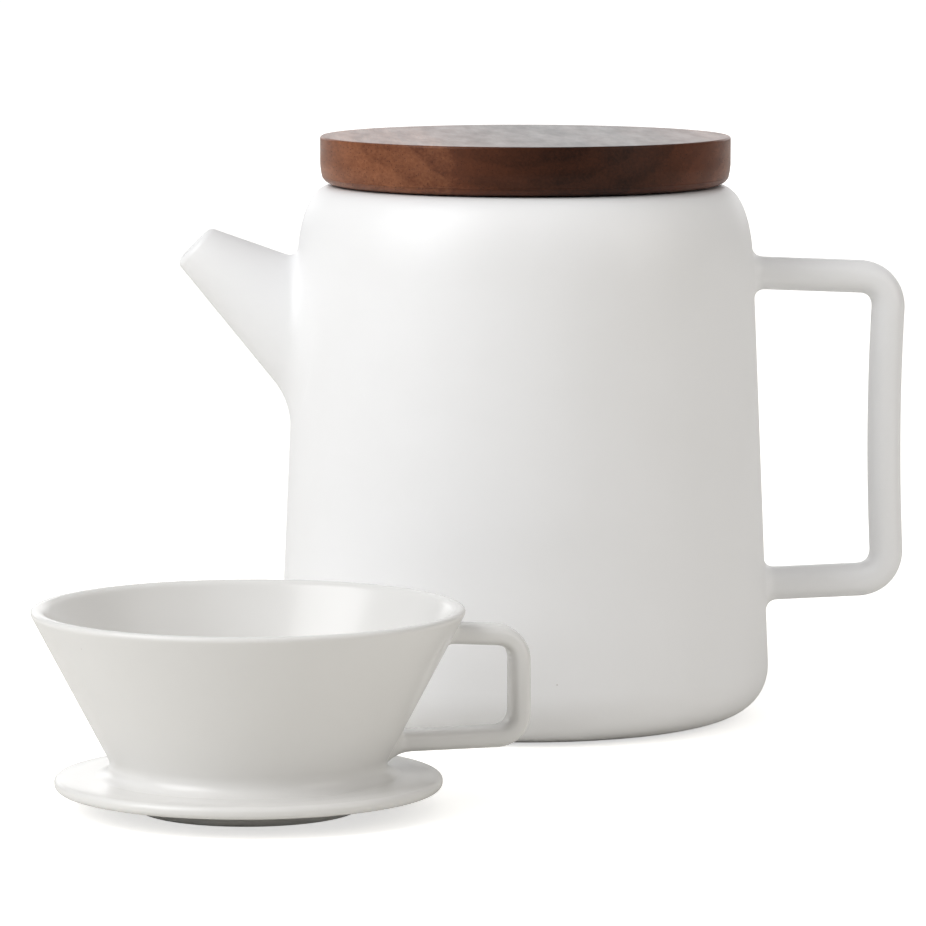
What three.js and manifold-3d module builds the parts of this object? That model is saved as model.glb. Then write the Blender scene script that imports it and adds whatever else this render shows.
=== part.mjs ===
// Coffee and tea pot with a wooden lid, and a pour-over dripper that stands beside it.
// Millimetres, +Z up. The whole set is centred over the middle of its own footprint, on z = 0.
import * as THREE from 'three';
import { mergeVertices } from 'three/addons/utils/BufferGeometryUtils.js';
import Module from 'manifold-3d';

const wasm = await Module();
wasm.setup();

// ---------------------------------------------------------------- driving dimensions

const GAP = 0.3; // left between pieces that touch
const ROUND = 48; // facets in one turn of a revolved piece
const FACING = THREE.MathUtils.degToRad(3); // the pot is turned this far about +Z
const ELLIPTIC = 0.7; // fullness of a corner that is about a quarter of an ellipse
const SQUARISH = 0.85; // fullness of a tighter, squarer corner

const POT = {
  rimHeight: 147.96,
  baseRadius: 69.0, // the straight side carried down to the table
  topRadius: 62.46, // the straight side carried up to the rim
  footRadius: 51.4, // outer edge of the ring that stands on the table
  footWidth: 4.4,
  footBevel: 1.5,
  recess: 1.8, // height of the underside inside the foot ring
  heelHeight: 15, // where the rounded heel meets the straight side
  shoulderHeight: 127.4, // where the shoulder leaves the straight side
  rimRadius: 54.0,
  mouthRadius: 42.0,
  mouthBevel: 1,
  wall: 4.2,
  rimThickness: 7.2,
  rimBevel: 0.8,
  floorHeight: 6.4,
  floorRound: 9,
  vaultRun: 5, // the ceiling stays flat this far out from the mouth
  vaultHeight: 16, // height over which the inside curves from wall to ceiling
};

const SPOUT = {
  tipReach: 92.25, // centre of the mouth, out from the pot's axis
  tipHeight: 131.4,
  tipRadius: 6.7,
  rise: THREE.MathUtils.degToRad(35.2), // slope of the centre line
  taper: THREE.MathUtils.degToRad(15.8), // half angle of the cone
  wall: 2.7,
  lipRound: 1.2,
  length: 56, // along the centre line, back into the pot's wall
};

const STRAINER = { holeRadius: 1.8, pitch: 5.6, rings: 2, height: 110.5 }; // behind the spout

const POT_HANDLE = {
  thickness: 9.0,
  width: 13.0,
  squareness: 2.8,
  reach: 101.6, // centre line of the grip, out from the pot's axis
  bow: 1.7, // how far the middle of the grip bends towards the pot
  upperHeight: 123.3,
  upperDrop: 0.9, // the upper arm falls this much on its way out
  lowerHeight: 36.2,
  lowerRise: 1.0,
  bend: 9.0,
};

const LID = {
  radius: 57.0,
  thickness: 13.44,
  underRadius: 53.9, // flat underside, inside the rounded lower edge
  lowerRound: 3.2,
  upperRound: 0.8,
  plugRadius: 40.4,
  plugDepth: 10.4,
  plugChamfer: 1.2,
  sealLip: 0.3, // how much the seal's waist stays inside the plug's edge
  grooveDepth: 1.9,
  grooveHeight: 4.2,
  grooveTop: 2.2, // from the disc's underside down to the groove
};

const DRIPPER = {
  place: new THREE.Vector3(-69.7, -158.4, 0), // its axis, seen from the pot's axis
  rimHeight: 51.3,
  rimRadius: 54.9,
  flare: 0.521, // outward run of the cone for each millimetre of height
  wall: 3.1,
  floorThickness: 3.2,
  floorRound: 5,
  drainRadius: 1.9,
  drainCircle: 11,
  drains: 3,
  flangeRadius: 49.3,
  flangeTop: 8.8,
  flangeBottom: 5.3,
  collarRadius: 28.4,
  collarWall: 3.4,
  collarRebate: 1.0, // how far the collar is let into the flange's underside
  collarRound: 0.8,
};

const DRIPPER_HANDLE = {
  thickness: 5.0,
  width: 12.0,
  squareness: 4.5,
  azimuth: THREE.MathUtils.degToRad(10.75),
  reach: 69.6,
  upperHeight: 43.5,
  upperDrop: 0.5,
  lowerHeight: 16.6,
  lowerRise: 0.2,
  bend: 6.5,
  bow: 0,
  rootDepth: 8, // how far the arms run into the cone before they are trimmed
};

// ---------------------------------------------------------------- materials

const glaze = new THREE.MeshStandardMaterial({ color: '#e8e7e5', roughness: 0.45 });
const walnut = new THREE.MeshStandardMaterial({ color: '#5a3220', roughness: 0.55 });
const silicone = new THREE.MeshStandardMaterial({ color: '#d9d6d0', roughness: 0.7 });

// ---------------------------------------------------------------- geometry helpers

const at = (radius, height) => new THREE.Vector2(radius, height);

// A rounded corner from start to end, pulled towards the sharp corner by its fullness.
function corner(start, sharp, end, fullness, steps) {
  const points = [];
  for (let i = 0; i <= steps; i += 1) {
    const t = i / steps;
    const a = (1 - t) * (1 - t);
    const b = 2 * t * (1 - t) * fullness;
    const c = t * t;
    const total = a + b + c;
    points.push(at(
      (a * start.x + b * sharp.x + c * end.x) / total,
      (a * start.y + b * sharp.y + c * end.y) / total,
    ));
  }
  return points;
}

// Turns an outline of radius and height about +Z. The outline runs up the outside and down the
// inside, from the axis back to the axis or round to its first point.
function revolve(outline, facets = ROUND) {
  return new THREE.LatheGeometry(outline, facets).rotateX(Math.PI / 2);
}

function ring(outline) {
  return revolve([...outline, outline[0]]);
}

function solid(geometry) {
  const bare = geometry.clone();
  bare.deleteAttribute('normal');
  bare.deleteAttribute('uv');
  const merged = mergeVertices(bare);
  const index = merged.index.array;
  const triangles = [];
  for (let i = 0; i < index.length; i += 3) {
    const [a, b, c] = [index[i], index[i + 1], index[i + 2]];
    if (a !== b && b !== c && c !== a) triangles.push(a, b, c);
  }
  return new wasm.Manifold(new wasm.Mesh({
    numProp: 3,
    vertProperties: new Float32Array(merged.attributes.position.array),
    triVerts: new Uint32Array(triangles),
  }));
}

function geometryOf(manifold) {
  const { vertProperties, triVerts } = manifold.getMesh();
  const geometry = new THREE.BufferGeometry();
  geometry.setAttribute('position', new THREE.BufferAttribute(vertProperties, 3));
  geometry.setIndex(new THREE.BufferAttribute(triVerts, 1));
  geometry.computeVertexNormals();
  return geometry;
}

function cut(geometry, ...tools) {
  let result = solid(geometry);
  for (const tool of tools) result = result.subtract(solid(tool));
  return geometryOf(result);
}

// A section that is rounder at a squareness of 2 and closer to a rectangle above it.
function section(width, thickness, squareness, sides) {
  const power = 2 / squareness;
  const points = [];
  for (let i = 0; i < sides; i += 1) {
    const angle = (2 * Math.PI * (i + 0.5)) / sides;
    const x = Math.sign(Math.cos(angle)) * Math.abs(Math.cos(angle)) ** power;
    const y = Math.sign(Math.sin(angle)) * Math.abs(Math.sin(angle)) ** power;
    points.push(at((x * width) / 2, (y * thickness) / 2));
  }
  return new THREE.Shape(points);
}

// A handle in the XZ plane: an upper arm out to a grip, down, and a lower arm back in.
function loopHandle(size, upperStart, lowerStart, steps, sides) {
  const point = (radius, height) => new THREE.Vector3(radius, 0, height);
  const top = size.upperHeight - size.upperDrop;
  const bottom = size.lowerHeight + size.lowerRise;
  const upperBend = [
    point(size.reach - size.bend, top),
    point(size.reach, top),
    point(size.reach, top - size.bend),
  ];
  const lowerBend = [
    point(size.reach, bottom + size.bend),
    point(size.reach, bottom),
    point(size.reach - size.bend, bottom),
  ];
  const middle = point(size.reach - 2 * size.bow, (top + bottom) / 2);
  const path = new THREE.CurvePath();
  path.add(new THREE.LineCurve3(point(upperStart, size.upperHeight), upperBend[0]));
  path.add(new THREE.QuadraticBezierCurve3(...upperBend));
  path.add(new THREE.QuadraticBezierCurve3(upperBend[2], middle, lowerBend[0]));
  path.add(new THREE.QuadraticBezierCurve3(...lowerBend));
  path.add(new THREE.LineCurve3(lowerBend[2], point(lowerStart, size.lowerHeight)));
  return new THREE.ExtrudeGeometry(
    section(size.width, size.thickness, size.squareness, sides),
    { extrudePath: path, steps },
  );
}

// ---------------------------------------------------------------- the pot

const potSide = (height) => THREE.MathUtils.mapLinear(
  height, 0, POT.rimHeight, POT.baseRadius, POT.topRadius,
);

// The outside of the pot from its foot to its rim, grown outwards by a clearance.
function potOutside(grow = 0) {
  const heel = at(potSide(POT.heelHeight) + grow, POT.heelHeight);
  const shoulder = at(potSide(POT.shoulderHeight) + grow, POT.shoulderHeight);
  const rim = at(POT.rimRadius + grow, POT.rimHeight + grow);
  return [
    ...corner(at(POT.footRadius, -grow), at(POT.baseRadius + grow, -grow), heel, SQUARISH, 6),
    ...corner(shoulder, at(POT.topRadius + grow, POT.rimHeight + grow), rim, SQUARISH, 6),
  ];
}

function potBody() {
  const innerSide = (height) => potSide(height) - POT.wall;
  const ceiling = POT.rimHeight - POT.rimThickness;
  const springing = ceiling - POT.vaultHeight;
  const footInside = POT.footRadius - POT.footWidth;
  const floorCurve = POT.floorHeight + POT.floorRound;
  const outline = [
    at(0, POT.recess),
    at(footInside - POT.footBevel, POT.recess),
    at(footInside, 0),
    ...potOutside(),
    at(POT.mouthRadius + POT.mouthBevel, POT.rimHeight),
    at(POT.mouthRadius, POT.rimHeight - POT.mouthBevel),
    at(POT.mouthRadius, ceiling + POT.rimBevel),
    ...corner(
      at(POT.mouthRadius + POT.vaultRun, ceiling),
      at(innerSide(ceiling), ceiling),
      at(innerSide(springing), springing),
      SQUARISH,
      5,
    ),
    ...corner(
      at(innerSide(floorCurve), floorCurve),
      at(innerSide(POT.floorHeight), POT.floorHeight),
      at(innerSide(POT.floorHeight) - POT.floorRound, POT.floorHeight),
      ELLIPTIC,
      5,
    ),
    at(0, POT.floorHeight),
  ];
  return cut(revolve(outline), ...strainerHoles());
}

// Holes in a hexagonal pattern through the wall behind the spout.
function strainerHoles() {
  const holes = [];
  for (let row = -STRAINER.rings; row <= STRAINER.rings; row += 1) {
    const count = 2 * STRAINER.rings + 1 - Math.abs(row);
    for (let i = 0; i < count; i += 1) {
      const across = (i - (count - 1) / 2) * STRAINER.pitch;
      const up = row * STRAINER.pitch * Math.sin(Math.PI / 3);
      const drill = new THREE.CylinderGeometry(
        STRAINER.holeRadius, STRAINER.holeRadius, 4 * POT.wall, 12,
      );
      drill.rotateZ(Math.PI / 2);
      holes.push(drill.translate(-potSide(STRAINER.height), across, STRAINER.height + up));
    }
  }
  return holes;
}

// The space that the pot fills, with a clearance, for trimming what is joined to it.
function potEnvelope() {
  return revolve([at(0, -GAP), ...potOutside(GAP), at(0, POT.rimHeight + GAP)]);
}

// A tapered tube that points along its own +Z, away from the pot, with its mouth at z = 0.
function potSpout() {
  const radiusAt = (back) => SPOUT.tipRadius + back * Math.tan(SPOUT.taper);
  const wall = SPOUT.wall / Math.cos(SPOUT.taper);
  const root = SPOUT.length;
  const lip = SPOUT.lipRound;
  const tube = ring([
    at(radiusAt(root), -root),
    ...corner(at(radiusAt(lip), -lip), at(radiusAt(0), 0), at(radiusAt(0) - lip, 0), ELLIPTIC, 3),
    ...corner(
      at(radiusAt(0) - wall + lip, 0),
      at(radiusAt(0) - wall, 0),
      at(radiusAt(lip) - wall, -lip),
      ELLIPTIC,
      3,
    ),
    at(radiusAt(root) - wall, -root),
  ]);
  tube.rotateY(SPOUT.rise - Math.PI / 2);
  tube.translate(-SPOUT.tipReach, 0, SPOUT.tipHeight);
  return cut(tube, potEnvelope());
}

function potHandle() {
  const inside = POT.mouthRadius; // well within the wall, from where the envelope trims it
  return cut(loopHandle(POT_HANDLE, inside, inside, 46, 14), potEnvelope());
}

// ---------------------------------------------------------------- the lid

const lidUnderside = POT.rimHeight + GAP;
const plugTop = lidUnderside - GAP;
const grooveUpper = plugTop - LID.grooveTop;
const grooveLower = grooveUpper - LID.grooveHeight;

function lidDisc() {
  const top = lidUnderside + LID.thickness;
  return revolve([
    at(0, lidUnderside),
    ...corner(
      at(LID.underRadius, lidUnderside),
      at(LID.radius, lidUnderside),
      at(LID.radius, lidUnderside + LID.lowerRound),
      ELLIPTIC,
      4,
    ),
    ...corner(
      at(LID.radius, top - LID.upperRound),
      at(LID.radius, top),
      at(LID.radius - LID.upperRound, top),
      ELLIPTIC,
      2,
    ),
    at(0, top),
  ], 64);
}

function lidPlug() {
  const bottom = plugTop - LID.plugDepth;
  const floor = LID.plugRadius - LID.grooveDepth;
  return revolve([
    at(0, bottom),
    at(LID.plugRadius - LID.plugChamfer, bottom),
    at(LID.plugRadius, bottom + LID.plugChamfer),
    at(LID.plugRadius, grooveLower),
    at(floor, grooveLower),
    at(floor, grooveUpper),
    at(LID.plugRadius, grooveUpper),
    at(LID.plugRadius, plugTop),
    at(0, plugTop),
  ]);
}

// A soft ring in the plug's groove, with two lips that stand out towards the mouth of the pot.
function lidSeal() {
  const inner = LID.plugRadius - LID.grooveDepth + GAP;
  const lip = POT.mouthRadius - GAP;
  const waist = LID.plugRadius - LID.sealLip;
  const low = grooveLower + GAP;
  const high = grooveUpper - GAP;
  const quarter = (high - low) / 4;
  return ring([
    at(inner, low),
    at(waist, low),
    at(lip, low + quarter),
    at(waist, low + 2 * quarter),
    at(lip, low + 3 * quarter),
    at(waist, high),
    at(inner, high),
  ]);
}

// ---------------------------------------------------------------- the dripper

const lipHalf = DRIPPER.wall / 2;
const coneSide = (height) => (
  DRIPPER.rimRadius + (height - (DRIPPER.rimHeight - lipHalf)) * DRIPPER.flare
);
const coneFoot = DRIPPER.flangeTop + GAP;

function dripperCone() {
  const wall = DRIPPER.wall * Math.hypot(1, DRIPPER.flare);
  const floor = coneFoot + DRIPPER.floorThickness;
  const lip = DRIPPER.rimHeight - lipHalf;
  const round = DRIPPER.floorRound;
  const outline = [
    at(0, coneFoot),
    at(coneSide(coneFoot), coneFoot),
    ...corner(
      at(coneSide(lip), lip),
      at(coneSide(lip), DRIPPER.rimHeight),
      at(coneSide(lip) - wall / 2, DRIPPER.rimHeight),
      ELLIPTIC,
      3,
    ),
    ...corner(
      at(coneSide(lip) - wall / 2, DRIPPER.rimHeight),
      at(coneSide(lip) - wall, DRIPPER.rimHeight),
      at(coneSide(lip) - wall, lip),
      ELLIPTIC,
      3,
    ).slice(1),
    ...corner(
      at(coneSide(floor + round) - wall, floor + round),
      at(coneSide(floor) - wall, floor),
      at(coneSide(floor) - wall - round, floor),
      ELLIPTIC,
      4,
    ),
    at(0, floor),
  ];
  const drills = [];
  for (let i = 0; i < DRIPPER.drains; i += 1) {
    const angle = (2 * Math.PI * i) / DRIPPER.drains;
    const drill = new THREE.CylinderGeometry(
      DRIPPER.drainRadius, DRIPPER.drainRadius, 4 * DRIPPER.floorThickness, 16,
    );
    drill.rotateX(Math.PI / 2);
    drills.push(drill.translate(
      DRIPPER.drainCircle * Math.cos(angle),
      DRIPPER.drainCircle * Math.sin(angle),
      coneFoot,
    ));
  }
  return cut(revolve(outline), ...drills);
}

// A flat ring that rests on the rim of a pot or a mug.
function dripperFlange() {
  const { flangeRadius, flangeTop, flangeBottom, collarRadius, collarWall, collarRebate } = DRIPPER;
  const middle = (flangeTop + flangeBottom) / 2;
  const edge = flangeRadius - (flangeTop - flangeBottom) / 2;
  return ring([
    at(collarRadius - collarWall, flangeBottom + collarRebate),
    at(collarRadius + GAP, flangeBottom + collarRebate),
    at(collarRadius + GAP, flangeBottom),
    ...corner(
      at(edge, flangeBottom), at(flangeRadius, flangeBottom), at(flangeRadius, middle), ELLIPTIC, 3,
    ),
    ...corner(
      at(flangeRadius, middle), at(flangeRadius, flangeTop), at(edge, flangeTop), ELLIPTIC, 3,
    ).slice(1),
    at(collarRadius - collarWall, flangeTop),
  ]);
}

// A short ring below the flange that drops into the mouth and keeps the dripper centred.
function dripperCollar() {
  const { flangeBottom, collarRadius, collarWall, collarRebate, collarRound } = DRIPPER;
  const top = flangeBottom + collarRebate - GAP;
  return ring([
    at(collarRadius - collarWall, 0),
    at(collarRadius - collarRound, 0),
    at(collarRadius, collarRound),
    at(collarRadius, top),
    at(collarRadius - collarWall, top),
  ]);
}

function dripperHandle() {
  const envelope = revolve([
    at(0, coneFoot),
    at(coneSide(coneFoot) + GAP, coneFoot),
    at(coneSide(DRIPPER.rimHeight) + GAP, DRIPPER.rimHeight),
    at(0, DRIPPER.rimHeight),
  ]);
  const upperStart = coneSide(DRIPPER_HANDLE.upperHeight) - DRIPPER_HANDLE.rootDepth;
  const lowerStart = coneSide(DRIPPER_HANDLE.lowerHeight) - DRIPPER_HANDLE.rootDepth;
  return cut(loopHandle(DRIPPER_HANDLE, upperStart, lowerStart, 34, 16), envelope);
}

// ---------------------------------------------------------------- the assembly

function piece(name, geometry, material) {
  const mesh = new THREE.Mesh(geometry, material.clone());
  mesh.name = name;
  return mesh;
}

const pot = new THREE.Group();
pot.rotation.z = FACING;
pot.add(
  piece('pot_body', potBody(), glaze),
  piece('pot_spout', potSpout(), glaze),
  piece('pot_handle', potHandle(), glaze),
  piece('lid_disc', lidDisc(), walnut),
  piece('lid_plug', lidPlug(), walnut),
  piece('lid_seal', lidSeal(), silicone),
);

const dripperLoop = piece('dripper_handle', dripperHandle(), glaze);
dripperLoop.rotation.z = DRIPPER_HANDLE.azimuth;

const dripper = new THREE.Group();
dripper.position.copy(DRIPPER.place);
dripper.add(
  piece('dripper_cone', dripperCone(), glaze),
  piece('dripper_flange', dripperFlange(), glaze),
  piece('dripper_collar', dripperCollar(), glaze),
  dripperLoop,
);

const group = new THREE.Group();
group.add(pot, dripper);

const footprint = new THREE.Box3().setFromObject(group, true);
const centre = footprint.getCenter(new THREE.Vector3());
group.position.set(-centre.x, -centre.y, -footprint.min.z);

export default group;
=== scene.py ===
"""A white glazed pot with a walnut lid, and a pour-over dripper in front of it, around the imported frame."""
import math

import bmesh
import bpy
import numpy as np
from mathutils import Matrix, Vector


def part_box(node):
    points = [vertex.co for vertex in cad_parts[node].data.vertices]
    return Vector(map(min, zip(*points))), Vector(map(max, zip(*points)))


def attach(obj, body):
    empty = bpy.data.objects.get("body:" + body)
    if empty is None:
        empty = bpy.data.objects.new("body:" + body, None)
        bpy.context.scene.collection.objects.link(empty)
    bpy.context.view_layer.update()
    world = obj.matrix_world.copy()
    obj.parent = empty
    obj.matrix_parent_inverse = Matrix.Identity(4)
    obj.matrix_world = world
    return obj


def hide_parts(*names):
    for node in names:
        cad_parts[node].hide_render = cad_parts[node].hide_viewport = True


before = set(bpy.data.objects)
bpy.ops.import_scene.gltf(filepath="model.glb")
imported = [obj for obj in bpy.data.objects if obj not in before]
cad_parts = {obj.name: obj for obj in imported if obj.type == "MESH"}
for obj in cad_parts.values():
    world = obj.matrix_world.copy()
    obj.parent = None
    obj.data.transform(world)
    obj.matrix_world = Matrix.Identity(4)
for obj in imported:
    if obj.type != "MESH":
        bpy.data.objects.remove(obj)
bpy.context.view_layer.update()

MM = 0.001

# ------------------------------------------------------------------ places, from the frame


def middle(node):
    low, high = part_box(node)
    return (low + high) / 2


POT_AXIS = np.array([middle("pot_body").x, middle("pot_body").y, 0.0])
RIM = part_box("pot_body")[1].z
LID_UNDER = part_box("lid_disc")[0].z
LID_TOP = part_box("lid_disc")[1].z
LID_RADIUS = (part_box("lid_disc")[1].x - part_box("lid_disc")[0].x) / 2
PLUG_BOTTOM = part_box("lid_plug")[0].z
PLUG_RADIUS = (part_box("lid_plug")[1].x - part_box("lid_plug")[0].x) / 2
SEAL_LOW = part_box("lid_seal")[0].z
SEAL_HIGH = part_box("lid_seal")[1].z
SEAL_RADIUS = (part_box("lid_seal")[1].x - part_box("lid_seal")[0].x) / 2

DRIPPER_AXIS = np.array([middle("dripper_cone").x, middle("dripper_cone").y, 0.0])
DRIPPER_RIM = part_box("dripper_cone")[1].z
DRIPPER_RIM_RADIUS = (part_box("dripper_cone")[1].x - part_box("dripper_cone")[0].x) / 2
FLANGE_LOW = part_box("dripper_flange")[0].z
FLANGE_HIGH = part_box("dripper_flange")[1].z
FLANGE_RADIUS = (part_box("dripper_flange")[1].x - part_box("dripper_flange")[0].x) / 2
COLLAR_RADIUS = (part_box("dripper_collar")[1].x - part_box("dripper_collar")[0].x) / 2

FACING = math.radians(3)  # the pot's handle points this far past +X
DRIPPER_FACING = math.radians(10.75)  # and the dripper's handle this far
UP = np.array([0.0, 0.0, 1.0])

# ------------------------------------------------------------------ outlines


def rounded(start, sharp, end, fullness=0.72, steps=10):
    """A corner from start to end pulled towards the sharp point, in two or three dimensions."""
    start, sharp, end = (np.asarray(p, float) for p in (start, sharp, end))
    t = np.linspace(0, 1, steps + 1)[:, None]
    a, b, c = (1 - t) ** 2, 2 * t * (1 - t) * fullness, t**2
    return (a * start + b * sharp + c * end) / (a + b + c)


def straight(start, end, spacing):
    """Points strictly between two ends, with one close to each end so that shading stays flat."""
    start, end = np.asarray(start, float), np.asarray(end, float)
    length = np.linalg.norm(end - start)
    near = min(0.4 * MM, length / 4)
    count = max(1, int(length / spacing))
    places = [near, *(length * i / count for i in range(1, count)), length - near]
    return [start + (end - start) * (p / length) for p in places if length > 0]


def outline(corners, closed=False, spacing=5 * MM):
    """Points along a polygon with rounded corners, in metres.

    Each corner is (radius, height, reach before, reach after, fullness) in millimetres."""
    places = [np.array(c[:2]) * MM for c in corners]
    rounds = [tuple(c[2:]) for c in corners]
    count = len(places)
    arcs = []
    for i, place in enumerate(places):
        before = places[i - 1]
        after = places[(i + 1) % count]
        if not rounds[i] or (not closed and i in (0, count - 1)):
            arcs.append(np.array([place]))
            continue
        reach = rounds[i] if len(rounds[i]) > 1 else (rounds[i][0], rounds[i][0])
        fullness = rounds[i][2] if len(rounds[i]) > 2 else 0.72
        start = place + (before - place) / np.linalg.norm(before - place) * reach[0] * MM
        end = place + (after - place) / np.linalg.norm(after - place) * reach[1] * MM
        steps = 6 if max(reach) < 4 else 16
        arcs.append(rounded(start, place, end, fullness, steps))
    points = []
    for i, arc in enumerate(arcs):
        points.extend(arc)
        if closed or i < count - 1:
            points.extend(straight(arc[-1], arcs[(i + 1) % count][0], spacing))
    kept = [points[0]]
    for point in points[1:]:
        if np.linalg.norm(point - kept[-1]) > 1e-6:
            kept.append(point)
    if closed and np.linalg.norm(kept[0] - kept[-1]) < 1e-6:
        kept.pop()
    return np.array(kept)


# ------------------------------------------------------------------ meshes


def new_piece(name, vertices, faces):
    mesh = bpy.data.meshes.new(name)
    mesh.from_pydata([tuple(v) for v in vertices], [], faces)
    shape = bmesh.new()
    shape.from_mesh(mesh)
    bmesh.ops.recalc_face_normals(shape, faces=shape.faces)
    for face in shape.faces:
        face.smooth = True
    shape.to_mesh(mesh)
    shape.free()
    piece = bpy.data.objects.new(name, mesh)
    bpy.context.scene.collection.objects.link(piece)
    return piece


def skin(name, rings, closed=False):
    """A closed body through a row of rings.

    A ring of one point is a pole, and closed joins the last ring to the first."""
    vertices, starts = [], []
    for ring in rings:
        starts.append(len(vertices))
        vertices.extend(ring)
    faces = []
    pairs = list(zip(range(len(rings)), range(1, len(rings))))
    if closed:
        pairs.append((len(rings) - 1, 0))
    for i, j in pairs:
        a, b = starts[i], starts[j]
        m, n = len(rings[i]), len(rings[j])
        for k in range(max(m, n)):
            following = (k + 1) % max(m, n)
            if m == 1:
                faces.append((a, b + k, b + following))
            elif n == 1:
                faces.append((a + k, b, a + following))
            else:
                faces.append((a + k, b + k, b + following, a + following))
    return new_piece(name, vertices, faces)


def revolve(name, axis, points, facets=160, closed=False, relief=None):
    """Turns (radius, height) points round an upright axis.

    relief(angle, radius, height) is added to the radius."""
    angles = np.linspace(0, 2 * math.pi, facets, endpoint=False)
    rings = []
    for radius, height in points:
        if radius < 1e-7:
            rings.append([axis + UP * height])
            continue
        extra = relief(angles, radius, height) if relief else 0.0
        reach = radius + extra + 0 * angles
        across = axis[0] + reach * np.cos(angles)
        along = axis[1] + reach * np.sin(angles)
        rings.append(np.column_stack([across, along, height + 0 * angles]))
    return skin(name, rings, closed)


class Side:
    """The outer side of a revolved piece, on which spouts and handles land."""

    def __init__(self, axis, points):
        order = np.argsort(points[:, 1], kind="stable")
        self.axis = axis
        self.heights = points[order, 1]
        self.radii = points[order, 0]

    def radius(self, height):
        return float(np.interp(height, self.heights, self.radii))

    def outward(self, point):
        flat = (point - self.axis) * (1, 1, 0)
        slope = (self.radius(point[2] + 0.2 * MM) - self.radius(point[2] - 0.2 * MM)) / (0.4 * MM)
        normal = flat / np.linalg.norm(flat) - UP * slope
        return normal / np.linalg.norm(normal)

    def land(self, point, sink=0.0):
        flat = (point - self.axis) * (1, 1, 0)
        on = self.axis + flat / np.linalg.norm(flat) * self.radius(point[2]) + UP * point[2]
        return on - self.outward(on) * sink

    def hit(self, start, direction, furthest):
        """The first place where a line from outside meets the side."""
        near, far = 0.0, furthest
        for _ in range(40):
            half = (near + far) / 2
            place = start + direction * half
            outside = np.linalg.norm((place - self.axis)[:2]) > self.radius(place[2])
            near, far = (half, far) if outside else (near, half)
        return start + direction * near


def landing(side, starts, directions, reaches, furthest, rows=9):
    """Rings that carry a tube smoothly on to a side, from the tube outwards.

    starts and directions give the line that each point of the tube's section runs along, and
    reaches how far the rounded corner goes up the tube and out over the side."""
    hits = np.array([side.hit(s, d, furthest) for s, d in zip(starts, directions)])
    normals = np.array([side.outward(h) for h in hits])
    along = np.roll(hits, -1, axis=0) - np.roll(hits, 1, axis=0)
    spread = np.cross(normals, along)
    spread /= np.linalg.norm(spread, axis=1)[:, None]
    centre = hits.mean(axis=0)
    spread *= np.sign(np.sum(spread * (hits - centre), axis=1))[:, None]
    reaches = np.asarray(reaches)[:, None]
    tops = hits - directions * reaches
    feet = np.array([side.land(p) for p in hits + spread * reaches])
    foot_normals = np.array([side.outward(f) for f in feet])
    flat = spread - foot_normals * np.sum(spread * foot_normals, axis=1)[:, None]
    flat /= np.linalg.norm(flat, axis=1)[:, None]
    pull = 0.62 * reaches
    first, second = tops + directions * pull, feet - flat * pull
    rings = []
    for t in np.linspace(0, 1, rows):
        rings.append(
            (1 - t) ** 3 * tops + 3 * t * (1 - t) ** 2 * first + 3 * t**2 * (1 - t) * second + t**3 * feet
        )
    # A skirt dives under the side at a slight angle, so that the shading runs on without a crease.
    for run, sink in ((2.0, 0.10), (3.5, 0.9)):
        rings.append(np.array([side.land(f, sink * MM) for f in feet + flat * run * MM]))
    return rings


def finished(piece, body, slot, material, *nodes):
    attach(piece, body)
    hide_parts(*nodes)
    piece.data.materials.append(material)
    return piece


def carve(piece, tool):
    """Cuts the tool out of the piece, and keeps the cut's edges crisp."""
    modifier = piece.modifiers.new("cut", "BOOLEAN")
    modifier.operation = "DIFFERENCE"
    modifier.solver = "EXACT"
    modifier.object = tool
    graph = bpy.context.evaluated_depsgraph_get()
    mesh = bpy.data.meshes.new_from_object(piece.evaluated_get(graph))
    piece.modifiers.clear()
    piece.data = mesh
    bpy.data.objects.remove(tool)
    mesh.shade_smooth()
    mesh.set_sharp_from_angle(angle=math.radians(40))


def drills(name, centres, direction, radius, length, sides=24):
    """One mesh of equal round bars, for cutting holes."""
    direction = np.asarray(direction, float)
    across = np.cross(direction, UP if abs(direction[2]) < 0.9 else (1.0, 0.0, 0.0))
    across /= np.linalg.norm(across)
    over = np.cross(direction, across)
    angles = np.linspace(0, 2 * math.pi, sides, endpoint=False)[:, None]
    circle = radius * (across * np.cos(angles) + over * np.sin(angles))
    vertices, faces = [], []
    for centre in centres:
        base = len(vertices)
        vertices.extend(centre + circle - direction * length / 2)
        vertices.extend(centre + circle + direction * length / 2)
        for k in range(sides):
            following = (k + 1) % sides
            faces.append((base + k, base + following, base + sides + following, base + sides + k))
        faces.append(tuple(base + k for k in range(sides)))
        faces.append(tuple(base + sides + k for k in range(sides)))
    return new_piece(name, vertices, faces)


# ------------------------------------------------------------------ materials


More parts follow.
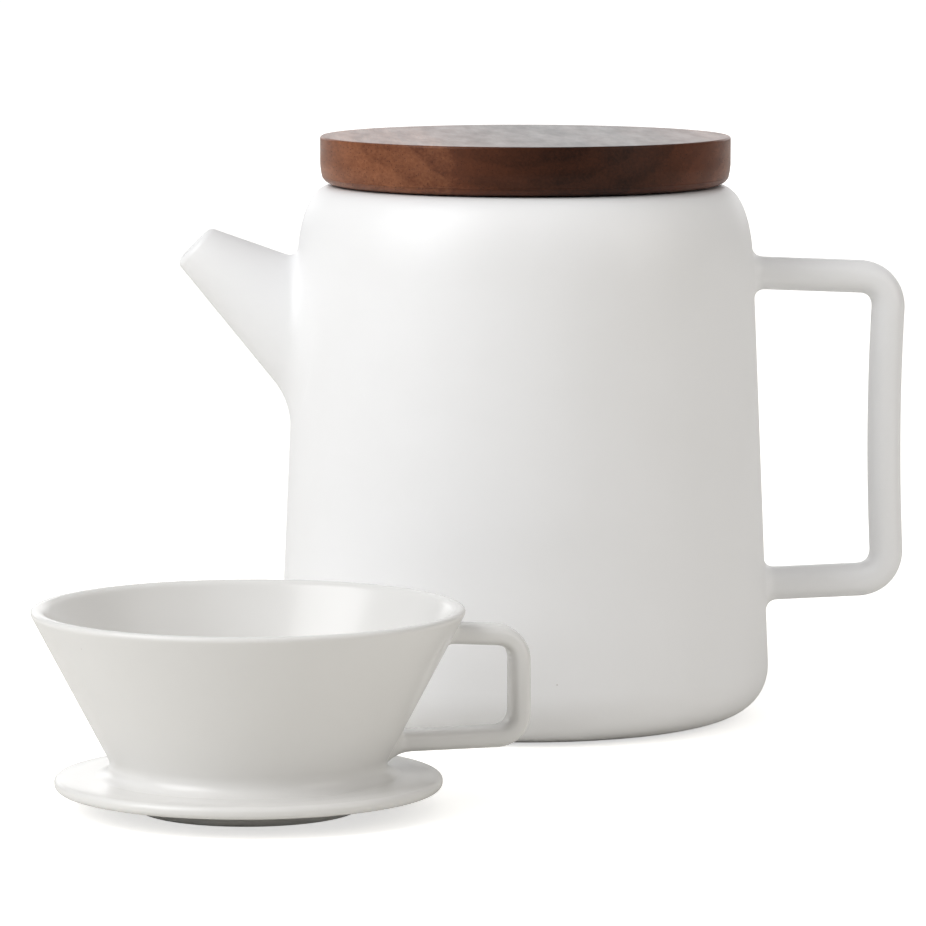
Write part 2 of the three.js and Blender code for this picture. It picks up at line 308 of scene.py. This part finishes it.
class Nodes:
    """Short names for building one material's node tree."""

    def __init__(self, name):
        self.material = bpy.data.materials.new(name)
        self.material.use_nodes = True
        self.tree = self.material.node_tree
        self.shader = self.tree.nodes["Principled BSDF"]
        self.place = self.tree.nodes.new("ShaderNodeTexCoord").outputs["Object"]
        self.facing = self.place.node.outputs["Normal"]

    def add(self, kind, settings=None, **inputs):
        node = self.tree.nodes.new("ShaderNode" + kind)
        for name, value in (settings or {}).items():
            setattr(node, name, value)
        for name, value in inputs.items():
            self.feed(node.inputs[name.replace("_", " ")], value)
        return node

    def feed(self, socket, value):
        if isinstance(value, bpy.types.NodeSocket):
            self.tree.links.new(value, socket)
        else:
            socket.default_value = value

    def set(self, name, value):
        self.feed(self.shader.inputs[name], value)

    def math(self, operation, first, second=0.0, clamp=False):
        node = self.add("Math", {"operation": operation, "use_clamp": clamp})
        self.feed(node.inputs[0], first)
        self.feed(node.inputs[1], second)
        return node.outputs[0]

    def step(self, value, low, high, to_low=0.0, to_high=1.0):
        """A smooth step: to_low where value is under low, to_high where it is over high."""
        node = self.add("MapRange", {"interpolation_type": "SMOOTHSTEP"})
        self.feed(node.inputs["Value"], value)
        for name, number in (("From Min", low), ("From Max", high), ("To Min", to_low), ("To Max", to_high)):
            self.feed(node.inputs[name], number)
        return node.outputs["Result"]

    def mix(self, amount, first, second):
        node = self.add("Mix", {"data_type": "RGBA"})
        self.feed(node.inputs["Factor"], amount)
        self.feed(node.inputs[6], first)
        self.feed(node.inputs[7], second)
        return node.outputs[2]

    def scaled(self, sizes, place=None, turn=0.0):
        """Object coordinates multiplied by a size for each axis."""
        node = self.add("Mapping", {"vector_type": "POINT"}, Vector=place or self.place)
        node.inputs["Scale"].default_value = sizes
        node.inputs["Rotation"].default_value = (0, 0, turn)
        return node.outputs["Vector"]

    def noise(self, scale, detail=2.0, roughness=0.5, vector=None):
        place = vector or self.place
        node = self.add("TexNoise", Vector=place, Scale=scale, Detail=detail, Roughness=roughness)
        return node.outputs["Fac"]

    def axis(self, which, vector=None):
        return self.add("SeparateXYZ", Vector=vector or self.place).outputs[which]

    def bump(self, height, distance, strength=1.0, normal=None):
        node = self.add("Bump", Height=height, Distance=distance, Strength=strength)
        if normal:
            self.feed(node.inputs["Normal"], normal)
        return node.outputs["Normal"]


def glaze(name, light, shade, roughness, foot_height):
    """Satin white glaze with faint clouds and a rare iron speck, bare clay on the foot."""
    n = Nodes(name)
    clouds = n.step(n.noise(22, 3), 0.35, 0.7)
    colour = n.mix(clouds, light, shade)
    cells = n.add("TexVoronoi", {"feature": "F1"}, Vector=n.place, Scale=330.0)
    rare = n.math("LESS_THAN", n.axis("X", cells.outputs["Color"]), 0.0009)
    dot = n.math("MULTIPLY", rare, n.step(cells.outputs["Distance"], 0.05, 0.09, 1.0, 0.0))
    colour = n.mix(n.math("MULTIPLY", dot, 0.35), colour, (0.20, 0.16, 0.12, 1))
    under = n.step(n.axis("Z", n.facing), -0.9, -0.97)
    foot = n.math("MULTIPLY", under, n.step(n.axis("Z"), foot_height, foot_height + 0.1 * MM, 1.0, 0.0))
    clay = n.mix(n.noise(900, 4, 0.7), (0.50, 0.45, 0.38, 1), (0.62, 0.57, 0.50, 1))
    n.set("Base Color", n.mix(foot, colour, clay))
    satin = n.step(n.noise(12, 1), 0.3, 0.7, roughness - 0.008, roughness + 0.008)
    n.set("Roughness", n.math("MAXIMUM", satin, n.math("MULTIPLY", foot, 0.9)))
    swell = n.bump(n.noise(30, 1), 0.10 * MM, 0.16)
    n.set("Normal", n.bump(n.noise(1500, 2), 0.004 * MM, 0.3, swell))
    n.shader.inputs["IOR"].default_value = 1.5
    return n.material


def walnut(name, grain):
    """Oiled walnut cut from a log whose heart lies above the board, with its grain along one direction."""
    n = Nodes(name)
    board = n.scaled((1, 1, 1), turn=-grain)
    heart = n.add("VectorMath", {"operation": "SUBTRACT"})
    n.feed(heart.inputs[0], board)
    turned_axis = Matrix.Rotation(-grain, 3, "Z") @ Vector((POT_AXIS[0], POT_AXIS[1], 0))
    heart_above_lid, heart_aside = 40 * MM, 2 * MM
    heart.inputs[1].default_value = (turned_axis.x + heart_aside, turned_axis.y, LID_TOP + heart_above_lid)
    log = heart.outputs["Vector"]
    wander = n.add("TexNoise", Vector=n.scaled((30, 7, 30), log), Scale=1.0, Detail=4.0, Roughness=0.55)
    drift = n.add("VectorMath", {"operation": "SCALE"}, Vector=wander.outputs["Color"])
    drift.inputs["Scale"].default_value = 0.016
    bent = n.add("VectorMath", {"operation": "ADD"})
    n.feed(bent.inputs[0], log)
    n.feed(bent.inputs[1], drift.outputs["Vector"])
    across = n.axis("X", bent.outputs["Vector"])
    above = n.axis("Z", bent.outputs["Vector"])
    squares = n.math("ADD", n.math("MULTIPLY", across, across), n.math("MULTIPLY", above, above))
    rings_per_metre = 130.0
    rings = n.math("MULTIPLY", n.math("SQRT", squares), rings_per_metre)
    year = n.math("FRACT", rings)
    late = n.math("MULTIPLY", n.step(year, 0.15, 0.85), n.step(year, 0.86, 1.0, 1.0, 0.0))
    broad = n.noise(1.0, 3, 0.55, n.scaled((45, 8, 45), log))
    mottle = n.noise(1.0, 3, 0.6, n.scaled((260, 45, 260), log))
    fine = n.noise(1.0, 4, 0.7, n.scaled((1300, 70, 1300), log))
    heartwood = n.step(n.axis("X", log), -42 * MM, 6 * MM)
    heartwood = n.math("MULTIPLY", heartwood, n.step(n.axis("X", log), 16 * MM, 56 * MM, 1.0, 0.12))
    tone = n.math("ADD", n.math("MULTIPLY", late, 0.05), n.math("MULTIPLY", broad, 0.28))
    tone = n.math("ADD", tone, n.math("MULTIPLY", mottle, 0.19))
    tone = n.math("ADD", tone, n.math("MULTIPLY", fine, 0.30))
    tone = n.math("ADD", tone, n.math("MULTIPLY", heartwood, 0.44))
    ramp = n.add("ValToRGB", Fac=tone)
    stops = ramp.color_ramp.elements
    stops[0].position, stops[0].color = 0.26, (0.285, 0.108, 0.050, 1)
    stops[1].position, stops[1].color = 0.92, (0.011, 0.003, 0.001, 1)
    middle_stop = stops.new(0.495)
    middle_stop.color = (0.105, 0.032, 0.014, 1)
    pore_field = n.add("TexVoronoi", {"feature": "F1"}, Vector=n.scaled((1700, 80, 1700), log), Scale=1.0)
    chosen = n.math("LESS_THAN", n.axis("X", pore_field.outputs["Color"]), 0.38)
    pores = n.math("MULTIPLY", chosen, n.step(pore_field.outputs["Distance"], 0.14, 0.34, 1.0, 0.0))
    end = n.math("ABSOLUTE", n.axis("Y", n.scaled((1, 1, 1), n.facing, -grain)))
    end_grain = n.step(end, 0.55, 1.0)
    colour = n.mix(n.math("MULTIPLY", pores, 0.6), ramp.outputs["Color"], (0.020, 0.007, 0.004, 1))
    n.set("Base Color", n.mix(n.math("MULTIPLY", end_grain, 0.22), colour, (0.030, 0.009, 0.004, 1)))
    n.set("Roughness", n.math("ADD", n.math("MULTIPLY", mottle, 0.14), 0.25))
    relief = n.math("SUBTRACT", n.math("MULTIPLY", fine, 0.35), pores)
    n.set("Normal", n.bump(relief, 0.05 * MM, 0.4))
    n.shader.inputs["IOR"].default_value = 1.25
    return n.material


def silicone(name):
    n = Nodes(name)
    clouds = n.noise(90, 2)
    n.set("Base Color", n.mix(clouds, (0.60, 0.585, 0.55, 1), (0.70, 0.69, 0.66, 1)))
    n.set("Roughness", n.step(n.noise(700, 2), 0.3, 0.7, 0.50, 0.62))
    n.set("Normal", n.bump(n.noise(1800, 2), 0.01 * MM, 0.5))
    n.shader.inputs["Subsurface Weight"].default_value = 0.15
    n.shader.inputs["Subsurface Radius"].default_value = (0.002, 0.002, 0.0015)
    return n.material


POT_GLAZE = glaze("pot_glaze", (0.803, 0.803, 0.808, 1), (0.785, 0.784, 0.786, 1), 0.41, 0.3 * MM)
DRIPPER_GLAZE = glaze("dripper_glaze", (0.712, 0.705, 0.69, 1), (0.698, 0.69, 0.673, 1), 0.25, 0.3 * MM)
WALNUT = walnut("walnut", math.radians(4))
SILICONE = silicone("silicone")

# ------------------------------------------------------------------ the pot

POT_OUTSIDE = [
    (68.87, 0.0, 17.6, 15.0, 0.85),
    (62.46, RIM / MM, 20.56, 8.46, 0.85),
]
POT_OUTLINE = [
    (0, 1.8),
    (45.5, 1.8, 1.0),
    (47.2, 0.0, 0.5),
    *POT_OUTSIDE,
    (42.0, RIM / MM, 1.3),
    (42.0, 140.8, 1.2),
    (58.6, 140.8, 11, 16, 0.85),
    (64.5, 6.4, 14, 14, 0.75),
    (0, 6.4),
]


def pot_side():
    points = outline([(47.2, 0.0), *POT_OUTSIDE, (42.0, RIM / MM)], spacing=1 * MM)
    rising = points[(points[:, 1] > 1e-5) & (points[:, 1] < RIM - 0.06 * MM)]
    return Side(POT_AXIS, rising)


POT_SIDE = pot_side()


def turned(angle):
    """The outward and sideways directions of something that faces an angle from +X."""
    outward = np.array([math.cos(angle), math.sin(angle), 0.0])
    sideways = np.array([-math.sin(angle), math.cos(angle), 0.0])
    return outward, sideways


def pot_body():
    piece = revolve("pot_body_glazed", POT_AXIS, outline(POT_OUTLINE), facets=192)
    out, side = turned(FACING + math.pi)
    pitch, rings, height = 5.6 * MM, 2, 110.5 * MM
    centres = []
    for row in range(-rings, rings + 1):
        count = 2 * rings + 1 - abs(row)
        for i in range(count):
            across = (i - (count - 1) / 2) * pitch
            up = row * pitch * math.sin(math.pi / 3)
            centres.append(POT_AXIS + out * POT_SIDE.radius(height) + side * across + UP * (height + up))
    carve(piece, drills("strainer_drills", centres, out, radius=1.8 * MM, length=17 * MM))
    return finished(piece, "pot", "pot_glaze", POT_GLAZE, "pot_body")


def pot_spout():
    """A hollow cone whose straight sides would meet beyond the mouth, cut off at a slant.

    Its root is flared on to the pot."""
    out, side = turned(FACING + math.pi)
    rise, taper, slant = math.radians(35.2), math.radians(15.8), math.radians(43)
    point = POT_AXIS + out * 111.3 * MM + UP * 144.75 * MM
    mouth = POT_AXIS + out * 92.25 * MM + UP * 131.4 * MM
    face = out * math.cos(slant) + UP * math.sin(slant)
    wall = 2.7 * MM
    back = -out * math.cos(rise) - UP * math.sin(rise)
    over = np.cross(back, side)
    over = over if over[2] > 0 else -over
    angles = np.linspace(0, 2 * math.pi, 96, endpoint=False)
    radial = [side * math.cos(a) + over * math.sin(a) for a in angles]
    lines = np.array([back * math.cos(taper) + r * math.sin(taper) for r in radial])
    inner_point = point + back * (wall / math.sin(taper))

    def at_mouth(apex):
        return np.array([apex + d * (np.dot(mouth - apex, face) / np.dot(d, face)) for d in lines])

    outer, inner = at_mouth(point), at_mouth(inner_point)
    across = (inner - outer) / np.linalg.norm(inner - outer, axis=1)[:, None]
    outer_reach, inner_reach = 1.7 * MM, 1.2 * MM
    outer_lip = [rounded(o + d * outer_reach, o, o + c * outer_reach, 0.75, 8)
                 for o, d, c in zip(outer, lines, across)]
    inner_lip = [rounded(i - c * inner_reach, i, i + d * inner_reach, 0.75, 5)
                 for i, d, c in zip(inner, lines, across)]
    outer_lip, inner_lip = np.array(outer_lip), np.array(inner_lip)
    top_share = np.clip((np.sin(angles) + 1) / 2, 0, 1)
    reaches = (7.5 - 4.0 * top_share) * MM
    rings_on_pot = landing(POT_SIDE, outer, lines, reaches, 80 * MM, rows=12)
    starts = outer_lip[:, 0]
    length = np.linalg.norm(rings_on_pot[0] - starts, axis=1)
    cone = [starts + lines * (length * t)[:, None] for t in np.linspace(0, 1, 9)[1:-1]]
    inner_hits = np.array([POT_SIDE.hit(i, d, 80 * MM) for i, d in zip(inner, lines)])
    inner_root = np.array([POT_SIDE.land(h, 1.2 * MM) for h in inner_hits])
    inner_starts = inner_lip[:, -1]
    inner_length = np.linalg.norm(inner_root - inner_starts, axis=1)
    channel = [inner_starts + lines * (inner_length * t)[:, None] for t in np.linspace(1, 0, 9)[1:-1]]
    rings = [
        *(outer_lip[:, k] for k in range(outer_lip.shape[1] - 1, -1, -1)),
        *cone,
        *rings_on_pot,
        inner_root,
        *channel,
        *(inner_lip[:, k] for k in range(inner_lip.shape[1] - 1, -1, -1)),
    ]
    piece = skin("pot_spout_glazed", rings, closed=True)
    return finished(piece, "pot", "pot_glaze", POT_GLAZE, "pot_spout")


def loop_path(reach, bow, upper, upper_drop, lower, lower_rise, bend, inner):
    """The centre line of a square loop handle, as (out, up) points in metres.

    It runs from the upper root to the lower, and all its inputs are in millimetres."""
    top, bottom = upper - upper_drop, lower + lower_rise
    upper_start, lower_end = (inner, upper), (inner, lower)
    upper_corner = rounded((reach - bend, top), (reach, top), (reach, top - bend), 0.8, 14)
    lower_corner = rounded((reach, bottom + bend), (reach, bottom), (reach - bend, bottom), 0.8, 14)
    middle_point = (reach - 2 * bow, (top + bottom) / 2)
    grip = rounded(upper_corner[-1], middle_point, lower_corner[0], 1.0, 24)
    shares = np.linspace(0, 1, 9)
    arm = [np.array(upper_start) + (upper_corner[0] - np.array(upper_start)) * t for t in shares]
    back_arm = [lower_corner[-1] + (np.array(lower_end) - lower_corner[-1]) * t for t in shares]
    return np.array([*arm[:-1], *upper_corner, *grip[1:-1], *lower_corner, *back_arm[1:]]) * MM


def loop_handle(name, side_of, facing, path, width, thickness, squareness, upper_reaches, lower_reaches):
    """A bar swept along the path, with both ends flared on to the side that it grows from.

    The reaches are the size of the root's rounded corner above and below the arm, in millimetres."""
    out, across = turned(facing)
    angles = np.linspace(0, 2 * math.pi, 56, endpoint=False)
    power = 2 / squareness
    wide = np.sign(np.cos(angles)) * np.abs(np.cos(angles)) ** power * width / 2 * MM
    thick = np.sign(np.sin(angles)) * np.abs(np.sin(angles)) ** power * thickness / 2 * MM
    steps = np.gradient(path, axis=0)
    steps /= np.linalg.norm(steps, axis=1)[:, None]
    rings = []
    for (reach, height), (along_out, along_up) in zip(path, steps):
        normal = out * -along_up + UP * along_out
        centre = side_of.axis + out * reach + UP * height
        rings.append(centre + across * wide[:, None] + normal * thick[:, None])

    def root(ring, towards, above_below):
        up_share = (ring[:, 2] - ring[:, 2].min()) / np.ptp(ring[:, 2])
        reaches = (above_below[1] + (above_below[0] - above_below[1]) * up_share) * MM
        directions = np.tile(towards, (len(ring), 1))
        return landing(side_of, ring - directions * 30 * MM, directions, reaches, 60 * MM, rows=9)

    def unit(step):
        return out * step[0] + UP * step[1]

    upper = root(rings[0], -unit(steps[0]), upper_reaches)
    lower = root(rings[-1], unit(steps[-1]), lower_reaches)

    def clear(ring, end):
        gap = (ring - end[0]) @ out
        return gap.min() > 0.5 * MM

    shaft = [r for r in rings if clear(r, upper) and clear(r, lower)]
    poles = [[upper[-1].mean(axis=0)], [lower[-1].mean(axis=0)]]
    return skin(name, [poles[0], *upper[::-1], *shaft, *lower, poles[1]])


def pot_handle():
    path = loop_path(
        reach=101.45, bow=0.85, upper=123.3, upper_drop=0.9, lower=36.2, lower_rise=1.0, bend=8.5, inner=68.5,
    )
    piece = loop_handle(
        "pot_handle_glazed", POT_SIDE, FACING, path, width=13.0, thickness=9.1, squareness=2.35,
        upper_reaches=(3.2, 3.2), lower_reaches=(3.2, 3.4),
    )
    return finished(piece, "pot", "pot_glaze", POT_GLAZE, "pot_handle")


# ------------------------------------------------------------------ the lid


def lid_disc():
    low, high, radius = LID_UNDER / MM, LID_TOP / MM, LID_RADIUS / MM
    points = outline([
        (0, low),
        (radius - 3.4, low, 1.0),
        (radius - 0.9, low + 1.1, 1.3),
        (radius, low + 4.0, 2.2),
        (radius, high, 0.6),
        (0, high),
    ])
    piece = revolve("lid_disc_walnut", POT_AXIS, points, facets=224)
    return finished(piece, "lid", "walnut", WALNUT, "lid_disc")


def lid_plug():
    """A step under the disc with a groove for the seal. It runs up into the disc, so no gap shows."""
    low, radius = PLUG_BOTTOM / MM, PLUG_RADIUS / MM
    seal_low, seal_high = SEAL_LOW / MM, SEAL_HIGH / MM
    points = outline([
        (0, low),
        (radius, low, 1.4),
        (radius, seal_low - 0.3, 0.25),
        (radius - 1.9, seal_low - 0.3, 0.2),
        (radius - 1.9, seal_high + 0.3, 0.2),
        (radius, seal_high + 0.3, 0.25),
        (radius, LID_UNDER / MM + 0.5),
        (0, LID_UNDER / MM + 0.5),
    ])
    piece = revolve("lid_plug_walnut", POT_AXIS, points, facets=160)
    return finished(piece, "lid", "walnut", WALNUT, "lid_plug")


def lid_seal():
    low, high, lip = SEAL_LOW / MM, SEAL_HIGH / MM, SEAL_RADIUS / MM
    waist, inner = PLUG_RADIUS / MM - 0.3, PLUG_RADIUS / MM - 1.7
    quarter = (high - low) / 4
    points = outline([
        (inner, low, 0.2),
        (waist, low, 0.25),
        (lip, low + quarter, 0.4),
        (waist, low + 2 * quarter, 0.35),
        (lip, low + 3 * quarter, 0.4),
        (waist, high, 0.25),
        (inner, high, 0.2),
    ], closed=True, spacing=1 * MM)
    piece = revolve("lid_seal_silicone", POT_AXIS, points, facets=160, closed=True)
    return finished(piece, "lid", "silicone", SILICONE, "lid_seal")


# ------------------------------------------------------------------ the dripper

CONE_FLARE = 0.521
CONE_WALL = 3.1
LIP_HEIGHT = DRIPPER_RIM / MM - 1.2  # where the cone would reach the rim's full radius if its edge were sharp


def cone_radius(height):
    """The outside of the cone, in millimetres."""
    return DRIPPER_RIM_RADIUS / MM + (height - LIP_HEIGHT) * CONE_FLARE


def dripper_cone():
    slant = CONE_WALL * math.hypot(1, CONE_FLARE)
    top, floor, foot = DRIPPER_RIM / MM, 12.3, FLANGE_HIGH / MM
    base = cone_radius(foot)
    rib_count, rib_height, rib_top = 24, 0.7, 33.0

    def ribs(angles, radius, height):
        inside = radius < (cone_radius(height / MM) - 0.6 * slant) * MM
        fade = np.clip((rib_top - height / MM) / 8, 0, 1) * np.clip((height / MM - floor - 1.5) / 3, 0, 1)
        ridge = np.clip(np.cos(angles * rib_count) * 1.6 - 0.6, 0, 1)
        return -(rib_height * MM) * ridge * fade if inside else 0 * angles

    points = outline([
        (0, foot + 0.3),
        (base - 4, foot + 0.3, 1.0),
        (base + 6.5, foot - 0.05),
        (base - 0.2, foot - 0.05, 6.4, 5.6, 0.75),
        (cone_radius(top), top, 1.9, 1.9, 0.8),
        (cone_radius(top) - slant, top, 1.5, 1.5, 0.8),
        (cone_radius(floor) - slant, floor, 5, 5, 0.75),
        (0, floor),
    ], spacing=1.6 * MM)
    piece = revolve("dripper_cone_glazed", DRIPPER_AXIS, points, facets=288, relief=ribs)
    drains, circle, middle_height = 3, 11 * MM, 10.7 * MM
    directions = [turned(2 * math.pi * i / drains)[0] for i in range(drains)]
    centres = [DRIPPER_AXIS + direction * circle + UP * middle_height for direction in directions]
    carve(piece, drills("drain_drills", centres, UP, radius=1.9 * MM, length=12 * MM, sides=32))
    return finished(piece, "dripper", "dripper_glaze", DRIPPER_GLAZE, "dripper_cone")


def dripper_flange():
    low, high, radius = FLANGE_LOW / MM, FLANGE_HIGH / MM, FLANGE_RADIUS / MM
    inner = COLLAR_RADIUS / MM - 3.4
    points = outline([
        (inner, low, 0.5),
        (radius - 0.25, low, 1.4),
        (radius, high - 0.5, 1.3),
        (radius - 3.5, high, 1.5),
        (inner, high, 0.4),
    ], closed=True, spacing=3 * MM)
    piece = revolve("dripper_flange_glazed", DRIPPER_AXIS, points, facets=192, closed=True)
    return finished(piece, "dripper", "dripper_glaze", DRIPPER_GLAZE, "dripper_flange")


def dripper_collar():
    high, radius = FLANGE_LOW / MM + 0.4, COLLAR_RADIUS / MM
    points = outline([
        (radius - 3.4, 0, 0.5),
        (radius, 0, 0.8),
        (radius, high),
        (radius - 3.4, high),
    ], closed=True, spacing=2 * MM)
    piece = revolve("dripper_collar_glazed", DRIPPER_AXIS, points, facets=160, closed=True)
    return finished(piece, "dripper", "dripper_glaze", DRIPPER_GLAZE, "dripper_collar")


def dripper_handle():
    heights = np.linspace(5.0, 51.0, 60)
    side = Side(DRIPPER_AXIS, np.column_stack([[cone_radius(h) * MM for h in heights], heights * MM]))
    path = loop_path(
        reach=69.6, bow=0.0, upper=43.5, upper_drop=0.5, lower=16.6, lower_rise=0.2, bend=6.6, inner=54.0,
    )
    piece = loop_handle(
        "dripper_handle_glazed", side, DRIPPER_FACING, path, width=12.0, thickness=5.2, squareness=3.0,
        upper_reaches=(1.6, 2.0), lower_reaches=(1.6, 5.5),
    )
    return finished(piece, "dripper", "dripper_glaze", DRIPPER_GLAZE, "dripper_handle")


# ------------------------------------------------------------------ camera, floor and light


def camera():
    """A long lens, 1.6 m away from the pot's axis and 9 cm above the lid's top."""
    distance, height = 1.6074, 0.2509
    look_down, look_right, roll = 0.1119, -0.0107, 0.0011
    forward = Vector((
        math.sin(look_right) * math.cos(look_down),
        math.cos(look_right) * math.cos(look_down),
        -math.sin(look_down),
    ))
    right = Vector((math.cos(look_right), -math.sin(look_right), 0))
    up = right.cross(forward)
    tilted_right = right * math.cos(roll) + up * math.sin(roll)
    tilted_up = up * math.cos(roll) - right * math.sin(roll)
    data = bpy.data.cameras.new("camera")
    data.sensor_width = 36
    data.lens = 225.3
    data.clip_start = 0.05
    data.clip_end = 100
    eye = bpy.data.objects.new("camera", data)
    frame_axes = Matrix((tilted_right, tilted_up, -forward)).transposed()
    place = Vector(POT_AXIS) + Vector((0, -distance, height))
    eye.matrix_world = Matrix.Translation(place) @ frame_axes.to_4x4()
    bpy.context.scene.collection.objects.link(eye)
    bpy.context.scene.camera = eye


def area_light(name, place, size, power, colour=(1, 1, 1)):
    data = bpy.data.lights.new(name, "AREA")
    data.shape = "RECTANGLE"
    data.size, data.size_y = size
    data.energy = power
    data.color = colour
    lamp = bpy.data.objects.new(name, data)
    target = Vector((POT_AXIS[0], POT_AXIS[1], 0.08))
    lamp.location = target + Vector(place)
    lamp.rotation_mode = "QUATERNION"
    lamp.rotation_quaternion = (-Vector(place)).to_track_quat("-Z", "Y")
    bpy.context.scene.collection.objects.link(lamp)


def white_table():
    """A plain pale floor. Its own faint glow reaches the camera only, so it throws no light up on the set."""
    table = Nodes("floor")
    table.set("Base Color", table.mix(table.noise(3), (0.815, 0.80, 0.765, 1), (0.835, 0.82, 0.785, 1)))
    table.shader.inputs["Roughness"].default_value = 0.9
    table.shader.inputs["Specular IOR Level"].default_value = 0.1
    table.shader.inputs["Emission Color"].default_value = (1, 1, 1, 1)
    seen = table.add("LightPath").outputs["Is Camera Ray"]
    table.set("Emission Strength", table.math("MULTIPLY", seen, 0.60))
    reach = 40.0
    corners = [(-reach, -reach, 0), (reach, -reach, 0), (reach, reach, 0), (-reach, reach, 0)]
    mesh = bpy.data.meshes.new("floor")
    mesh.from_pydata(corners, [], [(0, 1, 2, 3)])
    mesh.materials.append(table.material)
    floor = bpy.data.objects.new("floor", mesh)
    bpy.context.scene.collection.objects.link(floor)


def studio():
    """A dome that is brighter overhead than at its walls, with one tall soft light from the left.

    A weaker one fills in from the right, and a low one behind the set shines on the lid's top."""
    world = bpy.data.worlds.new("studio")
    world.use_nodes = True
    tree = world.node_tree
    background = tree.nodes["Background"]
    background.inputs["Color"].default_value = (0.995, 0.99, 0.985, 1)
    direction = tree.nodes.new("ShaderNodeTexCoord").outputs["Generated"]
    split = tree.nodes.new("ShaderNodeSeparateXYZ")
    tree.links.new(direction, split.inputs[0])
    rise = tree.nodes.new("ShaderNodeMapRange")
    rise.interpolation_type = "SMOOTHSTEP"
    tree.links.new(split.outputs["Z"], rise.inputs["Value"])
    for name, number in (("From Min", 0.05), ("From Max", 0.7), ("To Min", 0.20), ("To Max", 0.60)):
        rise.inputs[name].default_value = number
    tree.links.new(rise.outputs["Result"], background.inputs["Strength"])
    bpy.context.scene.world = world
    area_light("key", (-1.38, -0.94, 1.12), (1.3, 1.8), 31, (0.98, 0.99, 1.0))
    area_light("fill", (1.75, -0.9, 0.7), (1.2, 1.2), 8.5, (1.0, 0.955, 0.89))
    area_light("backdrop", (0.0, 3.0, 0.55), (4.0, 0.8), 16)
    bpy.context.scene.view_settings.view_transform = "Standard"
    bpy.context.scene.view_settings.look = "None"


camera()
white_table()
studio()
pot_body()
pot_spout()
pot_handle()
lid_disc()
lid_plug()
lid_seal()
dripper_cone()
dripper_flange()
dripper_collar()
dripper_handle()

bpy.context.view_layer.update()
